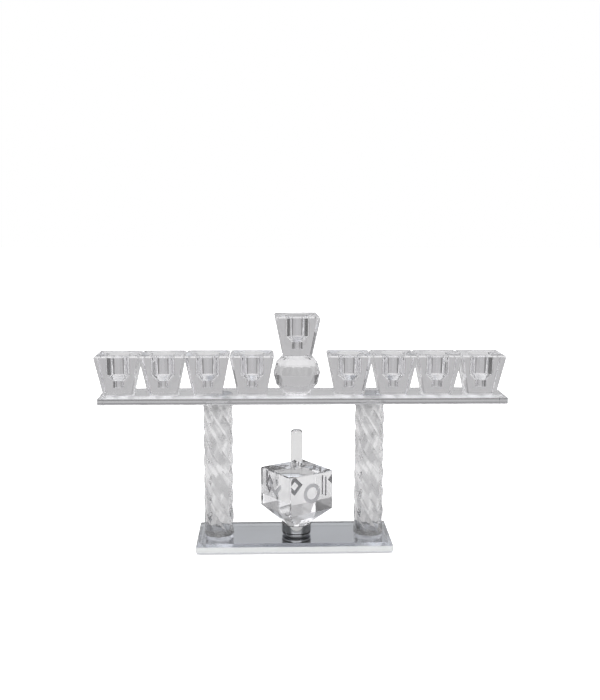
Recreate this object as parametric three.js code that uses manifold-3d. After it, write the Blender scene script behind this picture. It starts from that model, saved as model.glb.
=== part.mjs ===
// A crystal menorah: eight candle cups in a row on a glass shelf, and a ninth cup, the shamash, raised
// on a faceted ball. Two twisted columns carry the shelf over a mirrored base plate, and between them
// a crystal dreidel turns on a small chrome spinner.
//
// Millimetres, +Z up. The origin is on the table under the middle of the overall width, and the row of
// cups runs along X. Every height is worked out upwards from the table.
import * as THREE from "three";
import { mergeVertices } from "three/addons/utils/BufferGeometryUtils.js";
import Module from "manifold-3d";

const wasm = await Module();
wasm.setup();

// ---------------------------------------------------------------- driving dimensions

const GLUE = 0.1; // clear adhesive line between two glued faces

const PLATE_THICKNESS = 7; // base plate with its mirror, and shelf
const BEVEL_WIDTH = 5; // polished bevel round the top of both plates
const BEVEL_DROP = 1.5;
const PLATE_CORNER_CUT = 0.6;

const BASE_LENGTH = 165;
const BASE_DEPTH = 65;
const MIRROR_THICKNESS = 0.8; // silvered backing under the base plate
const MIRROR_MARGIN = 0.5;

const FOOT_RADIUS = 5; // clear bumper pads
const FOOT_HEIGHT = 1.2;
const FOOT_INSET = 11; // centre of a pad to the edges of the base

const SHELF_LENGTH = 340;
const SHELF_DEPTH = 45;

const COLUMN_RADIUS = 12.7; // to the corners
const COLUMN_HEIGHT = 117;
const COLUMN_SPACING = 128.9; // centre to centre
const COLUMN_SIDES = 8;
const COLUMN_PITCH = 132; // height of one full turn of the twist
const COLUMN_LAYERS = 36;

// The glued pieces stand a little out of line with one another, measured here from the base's middle.
const CENTRE_OFFSET = 2.2; // spinner, dreidel, ball and raised cup
const ROW_OFFSET = 5.4; // row of cups
const SHELF_OFFSET = 7.55;

const CUPS_PER_SIDE = 4;
const CUP_PITCH = 37.2;
const FIRST_CUP_X = 40.9; // inner cup of each side to the middle of the row
const CUP_TOP = 36.9; // across the flats of the square
const CUP_BOTTOM = 24.4;
const CUP_HEIGHT = 33;
const CUP_CORNER_CUT = 0.9;
const CUP_RIM_CHAMFER = 1.2;

const CANDLE_DIAMETER = 9.4; // the candles that the cups are bored for
const CANDLE_FIT = 0.2; // on the diameter
const BORE_DEPTH = 6;
const BORE_FLOOR = 5.5; // glass left under the bore
const WELL_RADIUS = 10;
const WELL_DEPTH = 16.5;
const WELL_CHAMFER = 0.6;
const CUTTER_SEGMENTS = 32;

const BALL_RADIUS = 20;
const BALL_FLAT_HEIGHT = 16.2; // centre to the ground top and bottom flats
const BALL_SIDES = 16;
const BALL_ROWS = 4; // rows of facets between the flats
const SHAMASH_TURN = THREE.MathUtils.degToRad(2.5); // the raised cup is set a little askew

const DREIDEL_SIDE = 44.6;
const DREIDEL_HEIGHT = 33.5; // straight part of the body
const DREIDEL_POINT = 22.9; // full height of its point, down to where the edges would meet
const DREIDEL_EDGE_CUT = 0.7;
const DREIDEL_TURN = THREE.MathUtils.degToRad(34.1); // one corner faces the front, a little to the left
const STEM_RADIUS = 5.25;
const STEM_HEIGHT = 34.3;
const STEM_ROUNDING = 3;

const SPINNER_RADIUS = 12.9;
const SPINNER_HEIGHT = 9.3;
const SPINNER_RIM = 0.7; // wall left at the mouth of the seat
const SPINNER_FLOOR = 1.5;
const SEAT_GAP = 0.3; // between the edges of the point and the conical seat
const TURNTABLE_RADIUS = 12.4; // foot disc that the spinner turns on
const TURNTABLE_HEIGHT = 1.6;
const WASHER_RADIUS = 4.5;
const WASHER_THICKNESS = 0.4;
const RUNNING_GAP = 0.1; // between faces that turn on each other
const PIN_RADIUS = 1.5;
const PIN_CLEARANCE = 0.2; // between the pin and what turns on it
const PIN_HEAD_RADIUS = 3;
const PIN_HEAD_HEIGHT = 0.7;
const EDGE_BREAK = 0.3; // small chamfers on the metal pieces
const ROUND_SEGMENTS = 40;

// ---------------------------------------------------------------- heights above the table

const mirrorBottom = FOOT_HEIGHT + GLUE;
const glassBottom = mirrorBottom + MIRROR_THICKNESS + GLUE;
const baseTop = mirrorBottom + PLATE_THICKNESS;
const columnBottom = baseTop + GLUE;
const shelfBottom = columnBottom + COLUMN_HEIGHT + GLUE;
const shelfTop = shelfBottom + PLATE_THICKNESS;
const cupBottom = shelfTop + GLUE;
const ballCentre = shelfTop + GLUE + BALL_FLAT_HEIGHT;
const shamashBottom = ballCentre + BALL_FLAT_HEIGHT + GLUE;

const turntableBottom = baseTop + GLUE;
const washerBottom = turntableBottom + TURNTABLE_HEIGHT + RUNNING_GAP;
const spinnerBottom = washerBottom + WASHER_THICKNESS + RUNNING_GAP;
const spinnerTop = baseTop + SPINNER_HEIGHT;
const spinnerFloor = spinnerBottom + SPINNER_FLOOR;
const pinHeadBottom = spinnerFloor + RUNNING_GAP;

// The point's four edges lie along the spinner's conical seat, which sets how high the dreidel stands.
const dreidelCorner = DREIDEL_SIDE / Math.SQRT2;
const edgeRun = dreidelCorner / DREIDEL_POINT; // radius gained for each millimetre of height
const seatMouth = SPINNER_RADIUS - SPINNER_RIM;
const bodyBottom = spinnerTop + (dreidelCorner - seatMouth + SEAT_GAP) / edgeRun;
const pointTip = pinHeadBottom + PIN_HEAD_HEIGHT + SEAT_GAP;
const bodyTop = bodyBottom + DREIDEL_HEIGHT;

// ---------------------------------------------------------------- materials

const crystal = () =>
  new THREE.MeshStandardMaterial({
    color: 0xe9edf1,
    roughness: 0.03,
    metalness: 0,
    transparent: true,
    opacity: 0.45,
  });
const silver = () => new THREE.MeshStandardMaterial({ color: 0xb9c1c9, roughness: 0.05, metalness: 1 });
const chrome = () => new THREE.MeshStandardMaterial({ color: 0xc4c6ca, roughness: 0.08, metalness: 1 });
const nylon = () => new THREE.MeshStandardMaterial({ color: 0xf2f1ec, roughness: 0.5, metalness: 0 });
const vinyl = () =>
  new THREE.MeshStandardMaterial({
    color: 0xdfe3e6,
    roughness: 0.35,
    metalness: 0,
    transparent: true,
    opacity: 0.6,
  });

// ---------------------------------------------------------------- shapes

// A regular polygon, counter-clockwise from above, at one height.
function polygonRing(sides, radius, z, turn = 0) {
  return Array.from({ length: sides }, (_, i) => {
    const angle = turn + (2 * Math.PI * i) / sides;
    return new THREE.Vector3(radius * Math.cos(angle), radius * Math.sin(angle), z);
  });
}

// A rectangle with its four corners cut off, counter-clockwise from above, at one height.
function cutRectangleRing(length, depth, cut, z) {
  const x = length / 2;
  const y = depth / 2;
  return [
    [x, y - cut],
    [x - cut, y],
    [-x + cut, y],
    [-x, y - cut],
    [-x, -y + cut],
    [-x + cut, -y],
    [x - cut, -y],
    [x, -y + cut],
  ].map(([px, py]) => new THREE.Vector3(px, py, z));
}

// A closed solid through convex rings of equal count, listed from the bottom up.
function loft(rings) {
  const count = rings[0].length;
  const last = (rings.length - 1) * count;
  const index = [];
  for (let layer = 0; layer < rings.length - 1; layer++) {
    for (let i = 0; i < count; i++) {
      const a = layer * count + i;
      const b = layer * count + ((i + 1) % count);
      index.push(a, b, a + count, b, b + count, a + count);
    }
  }
  for (let i = 1; i < count - 1; i++) {
    index.push(0, i + 1, i);
    index.push(last, last + i, last + i + 1);
  }
  const geometry = new THREE.BufferGeometry().setFromPoints(rings.flat());
  geometry.setIndex(index);
  return geometry;
}

// A body of revolution about Z from [radius, height] points. The outline runs counter-clockwise in the
// (radius, height) plane, and it starts and ends on the axis or closes on itself.
function turned(outline, segments = ROUND_SEGMENTS) {
  const points = outline.map(([radius, z]) => new THREE.Vector2(radius, z));
  return new THREE.LatheGeometry(points, segments).rotateX(Math.PI / 2);
}

function toSolid(geometry) {
  const bare = geometry.clone();
  bare.deleteAttribute("normal");
  bare.deleteAttribute("uv");
  const merged = mergeVertices(bare, 1e-4);
  const vertProperties = merged.getAttribute("position").array;
  const triVerts = new Uint32Array(merged.getIndex().array);
  return new wasm.Manifold(new wasm.Mesh({ numProp: 3, vertProperties, triVerts }));
}

function fromSolid(solid) {
  const { vertProperties, triVerts } = solid.getMesh();
  const geometry = new THREE.BufferGeometry();
  geometry.setAttribute("position", new THREE.BufferAttribute(vertProperties, 3));
  geometry.setIndex(new THREE.BufferAttribute(triVerts, 1));
  return geometry;
}

// A plate with a bevelled top, its underside at height 0.
function bevelledPlate(length, depth, thickness) {
  const inner = 2 * BEVEL_WIDTH;
  return loft([
    cutRectangleRing(length, depth, PLATE_CORNER_CUT, 0),
    cutRectangleRing(length, depth, PLATE_CORNER_CUT, thickness - BEVEL_DROP),
    cutRectangleRing(length - inner, depth - inner, PLATE_CORNER_CUT, thickness),
  ]);
}

// An eight-sided bar twisted about its length: the turn falls as the height grows.
function twistedColumn() {
  const rings = [];
  for (let layer = 0; layer <= COLUMN_LAYERS; layer++) {
    const z = (COLUMN_HEIGHT * layer) / COLUMN_LAYERS;
    rings.push(polygonRing(COLUMN_SIDES, COLUMN_RADIUS, z, (-2 * Math.PI * z) / COLUMN_PITCH));
  }
  return loft(rings);
}

// A square block that widens upwards, with a round well that funnels down to the candle's bore.
function candleCup() {
  const rim = CUP_TOP - 2 * CUP_RIM_CHAMFER;
  const block = loft([
    cutRectangleRing(CUP_BOTTOM, CUP_BOTTOM, CUP_CORNER_CUT, 0),
    cutRectangleRing(CUP_TOP, CUP_TOP, CUP_CORNER_CUT, CUP_HEIGHT - CUP_RIM_CHAMFER),
    cutRectangleRing(rim, rim, CUP_CORNER_CUT, CUP_HEIGHT),
  ]);
  const boreRadius = (CANDLE_DIAMETER + CANDLE_FIT) / 2;
  const above = 1; // the cutter passes the rim
  const cutter = turned(
    [
      [0, BORE_FLOOR],
      [boreRadius, BORE_FLOOR],
      [boreRadius, BORE_FLOOR + BORE_DEPTH],
      [WELL_RADIUS, CUP_HEIGHT - WELL_DEPTH],
      [WELL_RADIUS, CUP_HEIGHT - WELL_CHAMFER],
      [WELL_RADIUS + WELL_CHAMFER, CUP_HEIGHT],
      [WELL_RADIUS + WELL_CHAMFER, CUP_HEIGHT + above],
      [0, CUP_HEIGHT + above],
    ],
    CUTTER_SEGMENTS,
  );
  return fromSolid(toSolid(block).subtract(toSolid(cutter)));
}

// A ball ground flat above and below, with triangular facets: each ring is turned half a step past
// the ring under it.
function facetedBall() {
  const flatLatitude = Math.asin(BALL_FLAT_HEIGHT / BALL_RADIUS);
  const rings = [];
  for (let row = 0; row <= BALL_ROWS; row++) {
    const latitude = flatLatitude * ((2 * row) / BALL_ROWS - 1);
    const radius = BALL_RADIUS * Math.cos(latitude);
    const z = BALL_RADIUS * Math.sin(latitude);
    rings.push(polygonRing(BALL_SIDES, radius, z, (row * Math.PI) / BALL_SIDES));
  }
  return loft(rings);
}

// The square body and its cut-off point, measured from the foot of the straight part.
function dreidelBody() {
  const tipSide = DREIDEL_SIDE * (1 - (bodyBottom - pointTip) / DREIDEL_POINT);
  const tipCut = (DREIDEL_EDGE_CUT * tipSide) / DREIDEL_SIDE;
  const topSide = DREIDEL_SIDE - 2 * DREIDEL_EDGE_CUT;
  return loft([
    cutRectangleRing(tipSide, tipSide, tipCut, pointTip - bodyBottom),
    cutRectangleRing(DREIDEL_SIDE, DREIDEL_SIDE, DREIDEL_EDGE_CUT, 0),
    cutRectangleRing(DREIDEL_SIDE, DREIDEL_SIDE, DREIDEL_EDGE_CUT, DREIDEL_HEIGHT - DREIDEL_EDGE_CUT),
    cutRectangleRing(topSide, topSide, DREIDEL_EDGE_CUT, DREIDEL_HEIGHT),
  ]);
}

// A rod with a rounded top, its foot at height 0.
function dreidelStem() {
  const arcSteps = 4;
  const outline = [[0, 0], [STEM_RADIUS, 0]];
  for (let i = 0; i <= arcSteps; i++) {
    const angle = (Math.PI / 2) * (i / arcSteps);
    outline.push([
      STEM_RADIUS - STEM_ROUNDING * (1 - Math.cos(angle)),
      STEM_HEIGHT - STEM_ROUNDING * (1 - Math.sin(angle)),
    ]);
  }
  outline.push([0, STEM_HEIGHT]);
  return turned(outline);
}

// The disc glued to the base, with a counterbore for the pin's lower head.
function turntable() {
  const hole = PIN_RADIUS + GLUE;
  const counterbore = PIN_HEAD_RADIUS + GLUE;
  const step = PIN_HEAD_HEIGHT + GLUE;
  const outer = TURNTABLE_RADIUS;
  return turned([
    [hole, step],
    [counterbore, step],
    [counterbore, 0],
    [outer - EDGE_BREAK, 0],
    [outer, EDGE_BREAK],
    [outer, TURNTABLE_HEIGHT - EDGE_BREAK],
    [outer - EDGE_BREAK, TURNTABLE_HEIGHT],
    [hole, TURNTABLE_HEIGHT],
    [hole, step],
  ]);
}

function ringWasher() {
  const hole = PIN_RADIUS + PIN_CLEARANCE;
  return turned([
    [hole, 0],
    [WASHER_RADIUS, 0],
    [WASHER_RADIUS, WASHER_THICKNESS],
    [hole, WASHER_THICKNESS],
    [hole, 0],
  ]);
}

// A rivet with a head at each end, its foot at height 0.
function pivotPin() {
  const upperHead = pinHeadBottom - turntableBottom;
  const top = upperHead + PIN_HEAD_HEIGHT;
  return turned([
    [0, 0],
    [PIN_HEAD_RADIUS, 0],
    [PIN_HEAD_RADIUS, PIN_HEAD_HEIGHT],
    [PIN_RADIUS, PIN_HEAD_HEIGHT],
    [PIN_RADIUS, upperHead],
    [PIN_HEAD_RADIUS, upperHead],
    [PIN_HEAD_RADIUS - EDGE_BREAK, top],
    [0, top],
  ]);
}

// The chrome cup that turns: a thick floor with the pin's hole, and a conical seat for the point.
function spinnerCup() {
  const height = spinnerTop - spinnerBottom;
  const hole = PIN_RADIUS + PIN_CLEARANCE;
  const seatFoot = seatMouth - (height - SPINNER_FLOOR) * edgeRun;
  return turned([
    [hole, 0],
    [SPINNER_RADIUS - EDGE_BREAK, 0],
    [SPINNER_RADIUS, EDGE_BREAK],
    [SPINNER_RADIUS, height - EDGE_BREAK],
    [SPINNER_RADIUS - EDGE_BREAK, height],
    [seatMouth, height],
    [seatFoot, SPINNER_FLOOR],
    [hole, SPINNER_FLOOR],
    [hole, 0],
  ]);
}

function bumperPad() {
  return turned(
    [
      [0, 0],
      [FOOT_RADIUS, 0],
      [FOOT_RADIUS, FOOT_HEIGHT - EDGE_BREAK],
      [FOOT_RADIUS - EDGE_BREAK, FOOT_HEIGHT],
      [0, FOOT_HEIGHT],
    ],
    CUTTER_SEGMENTS,
  );
}

// ---------------------------------------------------------------- assembly

const rowReach = FIRST_CUP_X + (CUPS_PER_SIDE - 1) * CUP_PITCH + CUP_TOP / 2;
const leftEnd = ROW_OFFSET - rowReach; // the row ends the piece on the left, and the shelf on the right
const rightEnd = SHELF_OFFSET + SHELF_LENGTH / 2;
const baseX = -(leftEnd + rightEnd) / 2;
const centreX = baseX + CENTRE_OFFSET;
const rowX = baseX + ROW_OFFSET;
const shelfX = baseX + SHELF_OFFSET;

const menorah = new THREE.Group();

function add(name, geometry, material, [x, y, z], parent = menorah) {
  const mesh = new THREE.Mesh(geometry, material);
  mesh.name = name;
  mesh.position.set(x, y, z);
  parent.add(mesh);
  return mesh;
}

// Base: glass plate, mirror backing, and a pad near each corner.
const glassThickness = baseTop - glassBottom;
const mirrorLength = BASE_LENGTH - 2 * MIRROR_MARGIN;
const mirrorDepth = BASE_DEPTH - 2 * MIRROR_MARGIN;
const mirrorSheet = loft([
  cutRectangleRing(mirrorLength, mirrorDepth, PLATE_CORNER_CUT, 0),
  cutRectangleRing(mirrorLength, mirrorDepth, PLATE_CORNER_CUT, MIRROR_THICKNESS),
]);
add("base_plate", bevelledPlate(BASE_LENGTH, BASE_DEPTH, glassThickness), crystal(), [baseX, 0, glassBottom]);
add("base_mirror", mirrorSheet, silver(), [baseX, 0, mirrorBottom]);
for (const [depthName, depthSide] of [["front", -1], ["back", 1]]) {
  for (const [sideName, side] of [["left", -1], ["right", 1]]) {
    const x = baseX + side * (BASE_LENGTH / 2 - FOOT_INSET);
    const y = depthSide * (BASE_DEPTH / 2 - FOOT_INSET);
    add(`foot_${depthName}_${sideName}`, bumperPad(), vinyl(), [x, y, 0]);
  }
}

// Columns and shelf.
add("left_column", twistedColumn(), crystal(), [baseX - COLUMN_SPACING / 2, 0, columnBottom]);
add("right_column", twistedColumn(), crystal(), [baseX + COLUMN_SPACING / 2, 0, columnBottom]);
const shelfPlate = bevelledPlate(SHELF_LENGTH, SHELF_DEPTH, PLATE_THICKNESS);
add("shelf", shelfPlate, crystal(), [shelfX, 0, shelfBottom]);

// The row of cups, numbered from left to right.
const cupGeometry = candleCup();
for (let number = 1; number <= 2 * CUPS_PER_SIDE; number++) {
  const fromMiddle = number - CUPS_PER_SIDE - 0.5; // half steps: -3.5 to 3.5
  const outward = Math.abs(fromMiddle) - 0.5;
  const x = rowX + Math.sign(fromMiddle) * (FIRST_CUP_X + outward * CUP_PITCH);
  add(`candle_cup_${number}`, cupGeometry, crystal(), [x, 0, cupBottom]);
}

// The shamash: ball and raised cup.
add("shamash_ball", facetedBall(), crystal(), [centreX, 0, ballCentre]);
add("shamash_cup", cupGeometry, crystal(), [centreX, 0, shamashBottom]).rotation.z = SHAMASH_TURN;

// Spinner: the turntable, pin and washer stay still, and the cup turns.
add("spinner_turntable", turntable(), chrome(), [centreX, 0, turntableBottom]);
add("spinner_pin", pivotPin(), chrome(), [centreX, 0, turntableBottom]);
add("spinner_washer", ringWasher(), nylon(), [centreX, 0, washerBottom]);
add("spinner_cup", spinnerCup(), chrome(), [centreX, 0, spinnerBottom]);

// Dreidel: body and stem turn with the spinner's cup.
const dreidel = new THREE.Group();
dreidel.position.set(centreX, 0, bodyBottom);
dreidel.rotation.z = DREIDEL_TURN;
menorah.add(dreidel);
add("dreidel_body", dreidelBody(), crystal(), [0, 0, 0], dreidel);
add("dreidel_stem", dreidelStem(), crystal(), [0, 0, DREIDEL_HEIGHT + GLUE], dreidel);

export default menorah;
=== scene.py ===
import math

import bpy
from mathutils import Matrix, Vector


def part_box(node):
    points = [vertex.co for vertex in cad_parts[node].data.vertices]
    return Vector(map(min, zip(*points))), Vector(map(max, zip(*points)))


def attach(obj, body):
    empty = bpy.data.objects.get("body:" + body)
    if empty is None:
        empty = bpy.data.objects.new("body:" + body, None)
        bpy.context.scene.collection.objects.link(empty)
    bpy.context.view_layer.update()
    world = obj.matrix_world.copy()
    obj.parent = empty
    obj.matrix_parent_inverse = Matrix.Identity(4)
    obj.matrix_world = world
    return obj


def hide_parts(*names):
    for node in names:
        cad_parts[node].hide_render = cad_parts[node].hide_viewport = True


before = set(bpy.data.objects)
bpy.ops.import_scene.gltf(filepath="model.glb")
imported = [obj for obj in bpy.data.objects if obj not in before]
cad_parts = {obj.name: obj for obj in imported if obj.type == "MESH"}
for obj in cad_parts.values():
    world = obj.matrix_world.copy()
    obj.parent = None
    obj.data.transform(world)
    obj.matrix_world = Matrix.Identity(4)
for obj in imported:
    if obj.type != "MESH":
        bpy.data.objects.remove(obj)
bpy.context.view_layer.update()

# Looks for a crystal menorah, in metres and in the frame's own axes. Most pieces are rebuilt here with
# finer surfaces, in the places that the frame gives. The two plates, the dreidel's body, and the
# spinner's pin and washer keep their CAD solids.

MM = 0.001

# ---------------------------------------------------------------- places read from the frame

STAND_BODY = "frame"
SPIN_BODY = "dreidel"
CUP_NAMES = [f"candle_cup_{n}" for n in range(1, 9)]


def centre_of(node):
    low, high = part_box(node)
    return (low + high) / 2


def size_of(node):
    low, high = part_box(node)
    return high - low


def foot_of(node):
    """The middle of a node's underside."""
    centre = centre_of(node)
    return Vector((centre.x, centre.y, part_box(node)[0].z))


# A glued face crosses the glue line and reaches a little into its neighbour. The two surfaces then bend
# light in turn and cancel, as a clear glue line does, where a gap of air would mirror.
GLUE_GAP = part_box("shelf")[0].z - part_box("left_column")[1].z
GLUE_OVERLAP = 0.05 * MM
GLUE_REACH = GLUE_GAP + GLUE_OVERLAP

# ---------------------------------------------------------------- sizes that the boxes do not give

COLUMN_SIDES = 8
TWIST_PITCH = 132 * MM  # height of one full turn
COLUMN_EDGE_ROUNDING = 0.4 * MM

CUP_BOTTOM = 24.4 * MM
CUP_CORNER_CUT = 0.9 * MM
CUP_RIM_CHAMFER = 1.2 * MM
WELL_RADIUS = 10 * MM
WELL_DEPTH = 16.5 * MM
WELL_CHAMFER = 0.6 * MM
BORE_RADIUS = 4.8 * MM
BORE_FLOOR = 5.5 * MM
BORE_DEPTH = 6 * MM
SHAMASH_TURN = math.radians(2.5)

BALL_SIDES = 16
BALL_ROWS = 4

DREIDEL_SIDE = 44.6 * MM
DREIDEL_HEIGHT = 33.5 * MM  # straight part of the body
DREIDEL_POINT = 22.9 * MM
DREIDEL_TURN = math.radians(34.1)
STEM_ROUNDING = 3 * MM
MARK_STROKE = 3.2 * MM
MARK_HEIGHT = 17 * MM
MARK_DEPTH = 0.06 * MM  # each way from the polished face

SPINNER_RIM = 0.7 * MM
SPINNER_FLOOR = 1.5 * MM
SEAT_SLOPE = DREIDEL_SIDE / math.sqrt(2) / DREIDEL_POINT  # radius gained for each unit of height
PIVOT_HOLE = 1.7 * MM
METAL_CHAMFER = 0.3 * MM

POLISHED_EDGE = 0.16 * MM  # how wide the crisp edges are rounded
BALL_EDGE = 0.1 * MM
PLATED_EDGE = 0.08 * MM
MIRROR_EDGE = 0.05 * MM


# ---------------------------------------------------------------- mesh helpers

def piece(name, vertices, faces, body, material, replaces=(), smooth_angle=30):
    """A mesh piece that rides on a body. Edges sharper than smooth_angle, in degrees, stay crisp."""
    mesh = bpy.data.meshes.new(name)
    mesh.from_pydata([tuple(v) for v in vertices], [], faces)
    mesh.validate()
    mesh.shade_smooth()
    mesh.set_sharp_from_angle(angle=math.radians(smooth_angle))
    mesh.materials.append(material)
    made = bpy.data.objects.new(name, mesh)
    bpy.context.scene.collection.objects.link(made)
    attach(made, body)
    if replaces:
        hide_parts(*replaces)
    return made


def loft(rings):
    """A closed solid through rings of equal count, each counter-clockwise from above."""
    count = len(rings[0])
    vertices = [point for ring in rings for point in ring]
    faces = []
    for layer in range(len(rings) - 1):
        for i in range(count):
            a = layer * count + i
            b = layer * count + (i + 1) % count
            faces.append((a, b, b + count, a + count))
    faces.append(tuple(reversed(range(count))))
    last = (len(rings) - 1) * count
    faces.append(tuple(range(last, last + count)))
    return vertices, faces


def circle(radius, z, count, turn=0.0):
    step = 2 * math.pi / count
    return [
        Vector((radius * math.cos(turn + i * step), radius * math.sin(turn + i * step), z))
        for i in range(count)
    ]


def turned(outline, count=128):
    """A body of revolution about Z. The outline is (radius, z) points; one that starts and ends on the
    axis is closed there, and any other closes on itself as a ring."""
    on_axis = outline[0][0] == 0
    radii = outline[1:-1] if on_axis else outline
    vertices = [point for radius, z in radii for point in circle(radius, z, count)]
    faces = []
    joints = len(radii) - 1 if on_axis else len(radii)
    for layer in range(joints):
        above = (layer + 1) % len(radii)
        for i in range(count):
            j = (i + 1) % count
            a, b = layer * count, above * count
            faces.append((a + i, a + j, b + j, b + i))
    if on_axis:
        last = (len(radii) - 1) * count
        faces.append(tuple(reversed(range(count))))
        faces.append(tuple(range(last, last + count)))
    return vertices, faces


def moved(vertices, offset, turn=0.0):
    matrix = Matrix.Translation(offset) @ Matrix.Rotation(turn, 4, "Z")
    return [matrix @ v for v in vertices]


def soften(made, width=POLISHED_EDGE, angle=25):
    """Rounds a piece's edges a little where they are sharper than angle, in degrees, to catch light."""
    bevel = made.modifiers.new("edge_polish", "BEVEL")
    bevel.width = width
    bevel.segments = 2
    bevel.limit_method = "ANGLE"
    bevel.angle_limit = math.radians(angle)
    bevel.harden_normals = True


# ---------------------------------------------------------------- materials

CRYSTAL_IOR = 1.52
PLATE_IOR = 1.48
NOISE_LOW = 0.35  # nearly all of a noise pattern lies between these two
NOISE_HIGH = 0.7


class Graph:
    """A node tree, with short ways to add nodes to it. A value is a number, a tuple or the output of
    another node."""

    def __init__(self, tree):
        self.nodes = tree.nodes
        self.links = tree.links

    def feed(self, socket, value):
        if isinstance(value, bpy.types.NodeSocket):
            self.links.new(value, socket)
        else:
            socket.default_value = value

    def add(self, kind, inputs=None, **settings):
        node = self.nodes.new("ShaderNode" + kind)
        for name, value in settings.items():
            setattr(node, name, value)
        for name, value in (inputs or {}).items():
            self.feed(node.inputs[name], value)
        return node

    def noise(self, scale, low, high, detail=3.0, stretch=(1, 1, 1)):
        """A noise pattern in the piece's own space, from low to high."""
        place = self.add("TexCoord").outputs["Object"]
        mapping = self.add("Mapping", {"Vector": place, "Scale": stretch})
        inputs = {"Vector": mapping.outputs["Vector"], "Scale": scale, "Detail": detail}
        ranged = self.add("MapRange", {
            "Value": self.add("TexNoise", inputs).outputs["Fac"],
            "From Min": NOISE_LOW,
            "From Max": NOISE_HIGH,
            "To Min": low,
            "To Max": high,
        })
        return ranged.outputs["Result"]

    def step(self, value, low, high, to_low, to_high):
        """Goes smoothly from to_low to to_high, as a value goes from low to high."""
        inputs = {"Value": value, "From Min": low, "From Max": high, "To Min": to_low, "To Max": to_high}
        return self.add("MapRange", inputs, interpolation_type="SMOOTHSTEP").outputs["Result"]

    def between(self, value, low, high, fade):
        """1 between low and high, fading to 0 outside them."""
        rise = self.step(value, low - fade, low, 0.0, 1.0)
        fall = self.step(value, high, high + fade, 1.0, 0.0)
        return self.math("MULTIPLY", rise, fall)

    def math(self, operation, *values):
        node = self.add("Math", operation=operation)
        for socket, value in zip(node.inputs, values):
            self.feed(socket, value)
        return node.outputs["Value"]

    def stronger(self, first, first_weight, second, second_weight):
        """The greater of two weighted values."""
        first_part = self.math("MULTIPLY", first, first_weight)
        second_part = self.math("MULTIPLY", second, second_weight)
        return self.math("MAXIMUM", first_part, second_part)

    def blend(self, first, second, factor):
        """A colour between two others."""
        inputs = {"A": (*first, 1), "B": (*second, 1), "Factor": factor}
        return self.add("Mix", inputs, data_type="RGBA").outputs["Result"]

    def coordinate(self, kind, axis):
        """One axis of a texture coordinate: "Normal" is where a face looks, from -1 to 1, and
        "Generated" is the place within the piece's box, from 0 to 1. In a world, "Generated" is the
        direction that is looked in, from -1 to 1."""
        split = self.add("SeparateXYZ", {"Vector": self.add("TexCoord").outputs[kind]})
        return split.outputs[axis]


class Finish(Graph):
    """The graph of a new material, with its shader."""

    def __init__(self, name):
        self.material = bpy.data.materials.new(name)
        self.material.use_nodes = True
        super().__init__(self.material.node_tree)
        self.shader = self.nodes["Principled BSDF"]

    def set(self, name, value):
        self.feed(self.shader.inputs[name], value)

    def tint(self, first, second, scale, shade=None):
        """Base colour that drifts between two close tones, darkened where a shade is given."""
        colour = self.blend(first, second, self.noise(scale, 0, 1))
        if shade is not None:
            inputs = {"Vector": colour, "Scale": shade}
            colour = self.add("VectorMath", inputs, operation="SCALE").outputs["Vector"]
        self.set("Base Color", colour)

    def bump(self, height, strength, distance):
        inputs = {"Height": height, "Strength": strength, "Distance": distance}
        self.set("Normal", self.add("Bump", inputs).outputs["Normal"])

    def smudges(self):
        """The slight roughness that fingers leave on polished glass."""
        return self.noise(55, 0.0, 0.012)

    def clear(self, ior):
        self.set("IOR", ior)
        self.set("Transmission Weight", 1.0)


def crystal(name, first, second):
    """Polished crystal: a faint drift of tint, finger smudges, and slight waves in its surface."""
    finish = Finish(name)
    finish.tint(first, second, scale=30)
    finish.set("Roughness", finish.smudges())
    finish.bump(finish.noise(160, 0, 1, detail=1.0), strength=1.0, distance=0.002 * MM)
    finish.clear(CRYSTAL_IOR)
    return finish.material


def twisted_crystal(name, light, dark, turn):
    """Crystal drawn into a twisted bar: painted shade lightens and darkens it in streaks that follow the
    twist, standing in for the light and shade that its facets bend, and its surface is lumpy. The turn,
    in radians, is the twist over the whole bar."""
    finish = Finish(name)
    untwisted = finish.add("VectorRotate", {
        "Vector": finish.add("TexCoord").outputs["Generated"],
        "Center": (0.5, 0.5, 0),
        "Angle": finish.math("MULTIPLY", finish.coordinate("Generated", "Z"), turn),
    }, rotation_type="Z_AXIS")
    # painted shade: streaks that follow the twist, mixed into the base colour
    painted_twist_streaks = finish.add("TexNoise", {"Vector": untwisted.outputs["Vector"], "Scale": 4.5, "Detail": 2.0})
    painted_darkness = finish.step(painted_twist_streaks.outputs["Fac"], 0.42, 0.56, 0.0, 1.0)
    finish.set("Base Color", finish.blend(light, dark, painted_darkness))
    finish.set("Roughness", finish.smudges())
    finish.bump(finish.noise(400, 0, 1, detail=1.0), strength=1.0, distance=0.09 * MM)
    finish.clear(CRYSTAL_IOR)
    return finish.material


def drilled_crystal(name, first, second):
    """Polished crystal with a funnel left ground and uneven by the drill: the faces below the rim that
    look half up."""
    finish = Finish(name)
    finish.tint(first, second, scale=30)
    # the normal turns round where light meets a face from inside the glass
    slope = finish.math("ABSOLUTE", finish.coordinate("Normal", "Z"))
    half_up = finish.between(slope, 0.6, 0.85, fade=0.05)
    below_rim = finish.step(finish.coordinate("Generated", "Z"), 0.7, 0.75, 1.0, 0.0)
    ground = finish.math("MULTIPLY", half_up, below_rim)
    satin = finish.math("MULTIPLY", ground, 0.1)
    finish.set("Roughness", finish.math("MAXIMUM", satin, finish.smudges()))
    unevenness = finish.step(ground, 0.0, 1.0, 0.01, 1.0)
    finish.bump(finish.noise(450, 0, 1, detail=2.0), unevenness, distance=0.12 * MM)
    finish.clear(CRYSTAL_IOR)
    return finish.material


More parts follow.
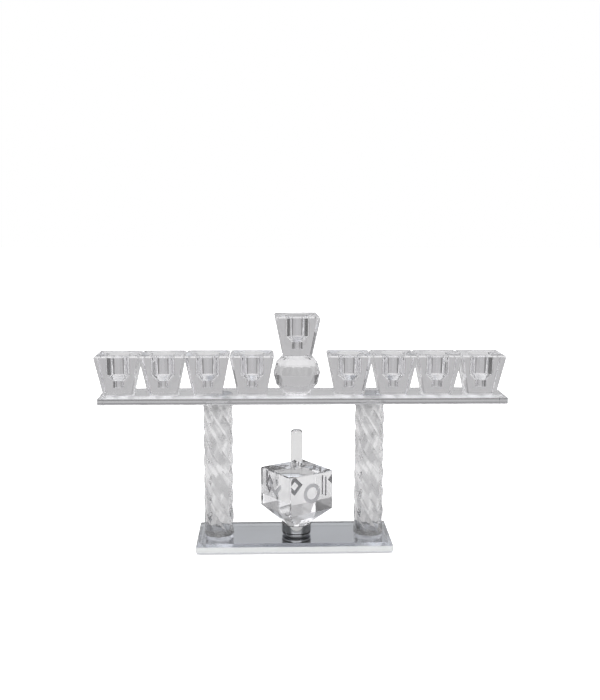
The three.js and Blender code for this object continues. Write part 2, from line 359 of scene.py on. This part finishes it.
def plate_glass(name, first, second, edge_satin, edge_clearness, bevel_satin, bevel_clearness,
                painted_rear_shade, painted_streak_shade):
    """Float glass. Satin is the roughness of its upright edges and of its bevels, and a clearness under
    1 makes them milky. A painted shade under 1 darkens the rear edge with its bevel, or a painted shaded
    streak that runs along the edges a little above their middle."""
    finish = Finish(name)
    # the normal turns round where light meets a face from inside the glass
    slope = finish.math("ABSOLUTE", finish.coordinate("Normal", "Z"))
    edge = finish.step(slope, 0.2, 0.3, 1.0, 0.0)
    bevel = finish.between(slope, 0.9, 0.975, fade=0.01)
    # painted shade: the rear edge with its bevel, and a streak along the edges a little above their
    # middle, are darkened in the base colour
    back = finish.step(finish.coordinate("Generated", "Y"), 0.9, 0.93, 0.0, 1.0)
    painted_rear = finish.math("MULTIPLY", finish.math("MAXIMUM", bevel, edge), back)
    band = finish.between(finish.coordinate("Generated", "Z"), 0.6, 0.68, fade=0.05)
    painted_streak = finish.math("MULTIPLY", edge, band)
    painted_darkness = finish.stronger(painted_rear, 1.0 - painted_rear_shade, painted_streak, 1.0 - painted_streak_shade)
    finish.tint(first, second, scale=30, shade=finish.math("SUBTRACT", 1.0, painted_darkness))
    satin = finish.stronger(edge, edge_satin, bevel, bevel_satin)
    finish.set("Roughness", finish.math("ADD", satin, finish.smudges()))
    milkiness = finish.stronger(edge, 1.0 - edge_clearness, bevel, 1.0 - bevel_clearness)
    finish.set("Transmission Weight", finish.math("SUBTRACT", 1.0, milkiness))
    finish.bump(finish.noise(160, 0, 1, detail=1.0), strength=0.02, distance=0.1 * MM)
    finish.set("IOR", PLATE_IOR)
    return finish.material


def mirror_silver():
    finish = Finish("mirror_silver")
    finish.tint((0.9, 0.915, 0.965), (0.86, 0.875, 0.92), scale=25)
    finish.set("Roughness", finish.noise(40, 0.0, 0.03))
    finish.set("Metallic", 1.0)
    return finish.material


def chrome_plate():
    """Turned and plated metal, with faint rings from the lathe. The seat and the underside are matte,
    and painted dark as painted shade where the dreidel and the plate shade them."""
    finish = Finish("chrome_plate")
    up = finish.coordinate("Normal", "Z")
    # painted shade: the seat under the dreidel and the underside on the plate are painted near black
    seat = finish.between(up, 0.3, 0.9, fade=0.07)
    underside = finish.step(up, -0.95, -0.85, 1.0, 0.0)
    painted_shade_areas = finish.math("MAXIMUM", seat, underside)
    plated_tone = finish.noise(60, 0.72, 0.64)
    painted_shade_tone = finish.noise(300, 0.05, 0.03)
    tone = finish.add("Mix", {"Factor": painted_shade_areas, "A": plated_tone, "B": painted_shade_tone}).outputs["Result"]
    grey = finish.add("CombineColor", {channel: tone for channel in ("Red", "Green", "Blue")})
    finish.set("Base Color", grey.outputs["Color"])
    polish = finish.noise(70, 0.04, 0.12)
    finish.set("Roughness", finish.math("MAXIMUM", polish, finish.math("MULTIPLY", painted_shade_areas, 0.5)))
    rings = finish.noise(30, 0, 1, detail=2.0, stretch=(1, 1, 60))
    finish.bump(rings, strength=0.05, distance=0.05 * MM)
    finish.set("Metallic", 1.0)
    return finish.material


def moulded(name, first, second, roughness_low, roughness_high, transmission=0.0):
    finish = Finish(name)
    finish.tint(first, second, scale=80)
    finish.set("Roughness", finish.noise(120, roughness_low, roughness_high))
    finish.bump(finish.noise(900, 0, 1), strength=0.1, distance=0.05 * MM)
    finish.set("Transmission Weight", transmission)
    return finish.material


CLEAR_TONES = ((0.972, 0.97, 0.977), (0.957, 0.955, 0.962))
clear_crystal = crystal("clear_crystal", *CLEAR_TONES)
# the stem takes the clear crystal painted darker, as painted shade
shaded_stem_crystal = crystal("shaded_stem_crystal", (0.9, 0.9, 0.897), (0.885, 0.885, 0.882))
cup_crystal = drilled_crystal("cup_crystal", *CLEAR_TONES)
column_crystal = twisted_crystal("column_crystal", (0.98, 0.978, 0.983), (0.62, 0.618, 0.625),
                                 turn=2 * math.pi * size_of("left_column").z / TWIST_PITCH)
# painted shade: the shelf has a darker streak painted along its edges, and the base a darker rear edge
shelf_glass = plate_glass("shelf_glass", (0.95, 0.955, 0.965), (0.93, 0.935, 0.947),
                          edge_satin=0.0, edge_clearness=1.0, bevel_satin=0.3, bevel_clearness=0.86,
                          painted_rear_shade=1.0, painted_streak_shade=0.3)
base_glass = plate_glass("base_glass", (0.955, 0.975, 0.965), (0.94, 0.96, 0.95),
                         edge_satin=0.5, edge_clearness=0.25, bevel_satin=0.22, bevel_clearness=0.88,
                         painted_rear_shade=0.6, painted_streak_shade=1.0)
silver = mirror_silver()
chrome = chrome_plate()
nylon = moulded("natural_nylon", (0.87, 0.86, 0.82), (0.82, 0.81, 0.77), 0.35, 0.5)
vinyl = moulded("clear_vinyl", (0.85, 0.87, 0.88), (0.8, 0.82, 0.84), 0.25, 0.4, transmission=0.8)
frosted = moulded("frosted_mark", (0.72, 0.72, 0.74), (0.62, 0.62, 0.64), 0.85, 1.0, transmission=0.35)


def finish_node(node, material):
    """A CAD solid that stays: its material slots take the finish, and its edges are softened."""
    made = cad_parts[node]
    made.data.materials.clear()
    made.data.materials.append(material)
    soften(made)


# ---------------------------------------------------------------- columns

def polygon_with_soft_corners(sides, radius, rounding, z, turn):
    """A regular polygon whose corners are small arcs. Two extra points on each side, close to the
    arcs, keep the flats flat."""
    arc_steps = 3
    centre_angle = math.pi / sides
    half_side = radius * math.sin(centre_angle)
    run = rounding * math.tan(centre_angle)  # along a side, from a corner to where its arc starts
    support = 1.5 * run
    flat = radius * math.cos(centre_angle)
    points = []
    for side in range(sides):
        facing = turn + (side + 0.5) * 2 * centre_angle
        out = Vector((math.cos(facing), math.sin(facing), 0))
        along = Vector((-math.sin(facing), math.cos(facing), 0))
        for reach in (-half_side + run + support, half_side - run - support):
            points.append(out * flat + along * reach)
        arc_centre = out * (flat - rounding) + along * (half_side - run)
        for step in range(arc_steps + 1):
            angle = facing + 2 * centre_angle * step / arc_steps
            points.append(arc_centre + rounding * Vector((math.cos(angle), math.sin(angle), 0)))
    return [Vector((p.x, p.y, z)) for p in points]


def column(side):
    node = f"{side}_column"
    low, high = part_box(node)
    radius = size_of(node).x / 2
    layers = 150
    bottom = low.z - GLUE_REACH
    top = high.z + GLUE_REACH
    rings = []
    for layer in range(layers + 1):
        z = bottom + (top - bottom) * layer / layers
        turn = -2 * math.pi * (z - low.z) / TWIST_PITCH
        rings.append(polygon_with_soft_corners(COLUMN_SIDES, radius, COLUMN_EDGE_ROUNDING, z, turn))
    vertices, faces = loft(rings)
    place = Vector((centre_of(node).x, centre_of(node).y, 0))
    piece(f"{side}_twisted_bar", moved(vertices, place), faces, STAND_BODY, column_crystal,
          replaces=[node])


for side in ("left", "right"):
    column(side)


# ---------------------------------------------------------------- cups

SIDE_POINTS = 25  # on each side of a cup's square outline, and on a quarter of its round wells


def cut_square(side, cut, z):
    """A square with its corners cut off, counter-clockwise, the right side first."""
    half = side / 2
    points = []
    for quarter in range(4):
        turn = Matrix.Rotation(quarter * math.pi / 2, 3, "Z")
        for i in range(SIDE_POINTS):
            along = (half - cut) * (2 * i / (SIDE_POINTS - 1) - 1)
            points.append(turn @ Vector((half, along, z)))
    return points


def matching_circle(radius, z):
    """A circle with a point beside each point of a cut square."""
    count = 4 * SIDE_POINTS
    first = -math.pi / 4 + math.pi / count
    return circle(radius, z, count, first)


def cup_shape(height, top_side):
    """A cup from its foot up its outside, over the rim, and down its well, funnel and bore."""
    rim = top_side - 2 * CUP_RIM_CHAMFER
    funnel_top = height - WELL_DEPTH
    funnel_foot = BORE_FLOOR + BORE_DEPTH
    widening = (top_side - CUP_BOTTOM) / (height - CUP_RIM_CHAMFER)
    return loft([
        cut_square(CUP_BOTTOM - widening * GLUE_REACH, CUP_CORNER_CUT, -GLUE_REACH),
        cut_square(top_side, CUP_CORNER_CUT, height - CUP_RIM_CHAMFER),
        cut_square(rim, CUP_CORNER_CUT, height),
        matching_circle(WELL_RADIUS + WELL_CHAMFER, height),
        matching_circle(WELL_RADIUS, height - WELL_CHAMFER),
        matching_circle(WELL_RADIUS, funnel_top),
        matching_circle(BORE_RADIUS, funnel_foot),
        matching_circle(BORE_RADIUS, BORE_FLOOR),
    ])


def cup(node, turn=0.0):
    # all the cups have tops of one size, but the box of the raised cup, which is turned, is wider
    top_side = size_of(CUP_NAMES[0]).x
    vertices, faces = cup_shape(size_of(node).z, top_side)
    made = piece(f"{node}_cut_glass", moved(vertices, foot_of(node), turn), faces, STAND_BODY,
                 cup_crystal, replaces=[node])
    soften(made)


for node in CUP_NAMES:
    cup(node)
cup("shamash_cup", SHAMASH_TURN)


# ---------------------------------------------------------------- ball under the raised cup

def ball():
    node = "shamash_ball"
    radius = size_of(node).x / 2
    flat_height = size_of(node).z / 2
    flat_latitude = math.asin(flat_height / radius)
    rings = []
    for row in range(BALL_ROWS + 1):
        latitude = flat_latitude * (2 * row / BALL_ROWS - 1)
        turn = row * math.pi / BALL_SIDES
        rings.append(circle(radius * math.cos(latitude), radius * math.sin(latitude), BALL_SIDES, turn))
    below = [Vector((p.x, p.y, p.z - GLUE_REACH)) for p in rings[0]]
    above = [Vector((p.x, p.y, p.z + GLUE_REACH)) for p in rings[-1]]
    vertices, faces = loft([below, *rings, above])
    # each side panel between two turned rings is two triangles
    panels = [face for face in faces if len(face) == 4]
    caps = [face for face in faces if len(face) > 4]
    triangles = [part for a, b, c, d in panels for part in ((a, b, d), (b, c, d))]
    made = piece("shamash_ball_cut_glass", moved(vertices, centre_of(node)), triangles + caps,
                 STAND_BODY, clear_crystal, replaces=[node], smooth_angle=2)
    soften(made, width=BALL_EDGE, angle=8)


ball()


# ---------------------------------------------------------------- dreidel and its frosted marks

finish_node("dreidel_body", clear_crystal)


def stem():
    node = "dreidel_stem"
    radius = size_of(node).x / 2
    height = size_of(node).z
    arc_steps = 10
    outline = [(0, -GLUE_REACH), (radius, -GLUE_REACH)]
    for i in range(arc_steps + 1):
        angle = math.pi / 2 * i / arc_steps
        outline.append((
            radius - STEM_ROUNDING * (1 - math.cos(angle)),
            height - STEM_ROUNDING * (1 - math.sin(angle)),
        ))
    outline.append((0, height))
    vertices, faces = turned(outline)
    piece("dreidel_stem_rod", moved(vertices, foot_of(node)), faces, SPIN_BODY, shaded_stem_crystal,
          replaces=[node])


stem()


def inlay_band(outer, inner):
    """A flat closed band between two outlines of equal count, with a little thickness along Y."""
    count = len(outer)
    vertices = []
    for y in (-MARK_DEPTH, MARK_DEPTH):
        for outline in (outer, inner):
            vertices += [Vector((x, y, z)) for x, z in outline]
    front_out, front_in, back_out, back_in = (k * count for k in range(4))
    faces = []
    for i in range(count):
        j = (i + 1) % count
        faces.append((front_out + i, front_out + j, front_in + j, front_in + i))
        faces.append((back_out + j, back_out + i, back_in + i, back_in + j))
        faces.append((front_out + j, front_out + i, back_out + i, back_out + j))
        faces.append((front_in + i, front_in + j, back_in + j, back_in + i))
    return vertices, faces


def inlay_patch(outline):
    """A flat closed patch inside an outline, with a little thickness along Y."""
    count = len(outline)
    vertices = [Vector((x, y, z)) for y in (-MARK_DEPTH, MARK_DEPTH) for x, z in outline]
    faces = [tuple(range(count)), tuple(reversed(range(count, 2 * count)))]
    for i in range(count):
        j = (i + 1) % count
        faces.append((j, i, count + i, count + j))
    return vertices, faces


def ring_outline(radius, count):
    step = 2 * math.pi / count
    return [(radius * math.cos(i * step), radius * math.sin(i * step)) for i in range(count)]


def bar_outline(x, width, height):
    return [
        (x - width / 2, -height / 2),
        (x + width / 2, -height / 2),
        (x + width / 2, height / 2),
        (x - width / 2, height / 2),
    ]


def chevron_outline():
    half = MARK_HEIGHT / 2
    dip = half * 0.1
    thick = MARK_STROKE * math.sqrt(2)
    return [
        (-half, half - thick),
        (-half, half),
        (0, dip),
        (half, half),
        (half, half - thick),
        (0, dip - thick),
    ]


def frosted_marks():
    """Plain shapes, one kind on each side: a ring, two bars, a diamond and a chevron."""
    outer = MARK_HEIGHT / 2
    diamond_inner = outer - MARK_STROKE * math.sqrt(2)
    shapes = [
        [inlay_band(ring_outline(outer, 48), ring_outline(outer - MARK_STROKE, 48))],
        [inlay_patch(bar_outline(x, MARK_STROKE, MARK_HEIGHT)) for x in (-outer / 2, outer / 2)],
        [inlay_band(ring_outline(outer, 4), ring_outline(diamond_inner, 4))],
        [inlay_patch(chevron_outline())],
    ]
    middle = centre_of("dreidel_body")
    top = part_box("dreidel_body")[1].z
    centre = Vector((middle.x, middle.y, top - DREIDEL_HEIGHT / 2))
    out = Matrix.Translation((0, -DREIDEL_SIDE / 2, 0))
    vertices = []
    faces = []
    for number, parts in enumerate(shapes):
        turn = DREIDEL_TURN + number * math.pi / 2
        place = Matrix.Translation(centre) @ Matrix.Rotation(turn, 4, "Z") @ out
        for part_vertices, part_faces in parts:
            first = len(vertices)
            vertices += [place @ v for v in part_vertices]
            faces += [tuple(first + i for i in face) for face in part_faces]
    piece("dreidel_frosted_marks", vertices, faces, SPIN_BODY, frosted, smooth_angle=40)


frosted_marks()


# ---------------------------------------------------------------- spinner

def chamfered_side(radius, height):
    """The side of a round metal piece, from its foot up, with the two corners taken off."""
    return [
        (radius - METAL_CHAMFER, 0),
        (radius, METAL_CHAMFER),
        (radius, height - METAL_CHAMFER),
        (radius - METAL_CHAMFER, height),
    ]


def spinner_cup():
    node = "spinner_cup"
    radius = size_of(node).x / 2
    height = size_of(node).z
    mouth = radius - SPINNER_RIM
    seat_foot = mouth - (height - SPINNER_FLOOR) * SEAT_SLOPE
    vertices, faces = turned([
        (PIVOT_HOLE, 0),
        *chamfered_side(radius, height),
        (mouth, height),
        (seat_foot, SPINNER_FLOOR),
        (PIVOT_HOLE, SPINNER_FLOOR),
    ])
    made = piece("spinner_turned_cup", moved(vertices, foot_of(node)), faces, SPIN_BODY, chrome,
                 replaces=[node])
    soften(made, width=PLATED_EDGE)


def turntable():
    node = "spinner_turntable"
    radius = size_of(node).x / 2
    height = size_of(node).z
    outline = [(PIVOT_HOLE, 0), *chamfered_side(radius, height), (PIVOT_HOLE, height)]
    vertices, faces = turned(outline)
    made = piece("spinner_turned_disc", moved(vertices, foot_of(node)), faces, STAND_BODY, chrome,
                 replaces=[node])
    soften(made, width=PLATED_EDGE)


spinner_cup()
turntable()
finish_node("spinner_pin", chrome)
finish_node("spinner_washer", nylon)


# ---------------------------------------------------------------- plates, mirror and pads

finish_node("base_plate", base_glass)
finish_node("shelf", shelf_glass)


def mirror_sheet():
    """Its top lies just inside the glass, so that it mirrors there with no air between."""
    low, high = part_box("base_mirror")
    top = high.z + GLUE_REACH
    corners = [(low.x, low.y), (high.x, low.y), (high.x, high.y), (low.x, high.y)]
    rings = [[Vector((x, y, z)) for x, y in corners] for z in (low.z, top)]
    vertices, faces = loft(rings)
    made = piece("base_mirror_sheet", vertices, faces, STAND_BODY, silver,
                 replaces=["base_mirror"])
    soften(made, width=MIRROR_EDGE)


mirror_sheet()


def pad(node):
    radius = size_of(node).x / 2
    height = size_of(node).z
    rounding = height * 0.4
    arc_steps = 6
    outline = [(0, 0), (radius - rounding, 0)]
    for i in range(arc_steps + 1):
        angle = math.pi / 2 * i / arc_steps
        outline.append((
            radius - rounding + rounding * math.sin(angle),
            rounding - rounding * math.cos(angle),
        ))
    outline += [(radius, height), (0, height)]
    vertices, faces = turned(outline, 64)
    piece(f"{node}_pad", moved(vertices, foot_of(node)), faces, STAND_BODY, vinyl,
          replaces=[node])


for depth in ("front", "back"):
    for side in ("left", "right"):
        pad(f"foot_{depth}_{side}")


# ---------------------------------------------------------------- floor, light and camera

FLOOR_SIZE = 12.0
FLOOR_WHITE = 0.93  # as the camera sees it
FLOOR_NEAR = 0.5  # as the glass sees it close by, and farther off
FLOOR_FAR = 0.31


def pale_floor():
    """A seamless white floor. What the glass bends and mirrors of it darkens with distance."""
    mesh = bpy.data.meshes.new("floor")
    half = FLOOR_SIZE / 2
    corners = [(-half, -half, 0), (half, -half, 0), (half, half, 0), (-half, half, 0)]
    mesh.from_pydata(corners, [], [(0, 1, 2, 3)])
    floor = bpy.data.objects.new("floor", mesh)
    bpy.context.scene.collection.objects.link(floor)
    finish = Finish("pale_floor")
    place = finish.add("TexCoord").outputs["Object"]
    distance = finish.add("VectorMath", {"Vector": place}, operation="LENGTH").outputs["Value"]
    seen_in_glass = finish.step(distance, 0.3, 0.9, FLOOR_NEAR, FLOOR_FAR)
    seen_directly = finish.add("LightPath").outputs["Is Camera Ray"]
    white = finish.math("MULTIPLY", seen_directly, FLOOR_WHITE)
    finish.set("Base Color", finish.math("MAXIMUM", seen_in_glass, white))
    finish.set("Roughness", 1.0)
    finish.set("Specular IOR Level", 0.0)
    # far from the piece the lamps fade, and a glow takes over: white to the camera, so that no horizon
    # shows, and grey in the glass
    glow = finish.add("Mix", {
        "Factor": seen_directly,
        "A": finish.step(distance, 0.7, 2.5, 0.0, 0.42),
        "B": finish.step(distance, 0.1, 0.5, 0.5, 1.0),
    })
    finish.set("Emission Color", (1, 1, 1, 1))
    finish.set("Emission Strength", glow.outputs["Result"])
    mesh.materials.append(finish.material)


ROOM_LEVEL = 0.48  # how bright the glass sees the room
SIDE_LEVEL = 0.13  # far to the left and right
OVERHEAD_LEVEL = 1.35
FRONT_LEVEL = 0.85  # straight behind the camera
ROOM_TINT = (1.0, 0.994, 1.01)
WHITE = (1, 1, 1)


def room():
    """The camera sees white. The glass and metal see a grey room, dark at the sides, light above
    and behind the camera."""
    world = bpy.data.worlds.new("studio")
    bpy.context.scene.world = world
    world.use_nodes = True
    graph = Graph(world.node_tree)
    background = graph.nodes["Background"]
    sideways = graph.math("ABSOLUTE", graph.coordinate("Generated", "X"))
    around = graph.step(sideways, 0.5, 0.75, ROOM_LEVEL, SIDE_LEVEL)
    ceiling = graph.step(graph.coordinate("Generated", "Z"), 0.45, 0.75, 0.0, OVERHEAD_LEVEL)
    middle = graph.step(sideways, 0.45, 0.7, 1.0, 0.1)
    overhead = graph.math("MULTIPLY", ceiling, middle)
    frontal = graph.step(graph.coordinate("Generated", "Y"), -0.85, -0.7, FRONT_LEVEL, 0.0)
    seen_in_glass = graph.math("MAXIMUM", graph.math("MAXIMUM", around, frontal), overhead)
    seen_directly = graph.add("LightPath").outputs["Is Camera Ray"]
    graph.feed(background.inputs["Strength"], graph.math("MAXIMUM", seen_in_glass, seen_directly))
    graph.feed(background.inputs["Color"], graph.blend(ROOM_TINT, WHITE, seen_directly))


def soft_light(name, location, side, power, mirrored):
    """A square lamp that looks at the piece. It is never seen through the glass, and it shows as a
    highlight only if it is mirrored."""
    aim = Vector((0, 0, 0.1))
    data = bpy.data.lights.new(name, "AREA")
    data.shape = "SQUARE"
    data.size = side
    data.energy = power
    light = bpy.data.objects.new(name, data)
    light.location = location
    light.rotation_euler = (aim - Vector(location)).to_track_quat("-Z", "Y").to_euler()
    light.visible_glossy = mirrored
    light.visible_transmission = False
    bpy.context.scene.collection.objects.link(light)


def camera():
    """Stands a little left of the middle and looks slightly right and down at the shelf."""
    distance = 788.7 * MM
    sideways = -29.5 * MM
    height = 286.2 * MM
    look_right = math.radians(2.06)
    look_down = math.radians(8.516)
    tilt = math.radians(0.18)
    data = bpy.data.cameras.new("camera")
    data.sensor_width = 36
    data.lens = 48.69
    data.clip_start = 0.05
    data.clip_end = 50
    made = bpy.data.objects.new("camera", data)
    made.location = (sideways, -distance, height)
    turn = Matrix.Rotation(-look_right, 4, "Z") @ Matrix.Rotation(math.pi / 2 - look_down, 4, "X")
    made.rotation_euler = (turn @ Matrix.Rotation(tilt, 4, "Z")).to_euler()
    bpy.context.scene.collection.objects.link(made)
    bpy.context.scene.camera = made


def light_paths():
    """Enough bounces for light that crosses several pieces of glass."""
    cycles = bpy.context.scene.cycles
    cycles.max_bounces = 28
    cycles.transmission_bounces = 24
    cycles.glossy_bounces = 16
    cycles.transparent_max_bounces = 16


pale_floor()
room()
soft_light("overhead_softbox", (0.0, -0.2, 1.8), side=2.4, power=40, mirrored=False)
soft_light("front_softbox", (-0.6, -1.6, 1.3), side=0.9, power=8, mirrored=True)
camera()
light_paths()
bpy.context.scene.view_settings.view_transform = "Standard"
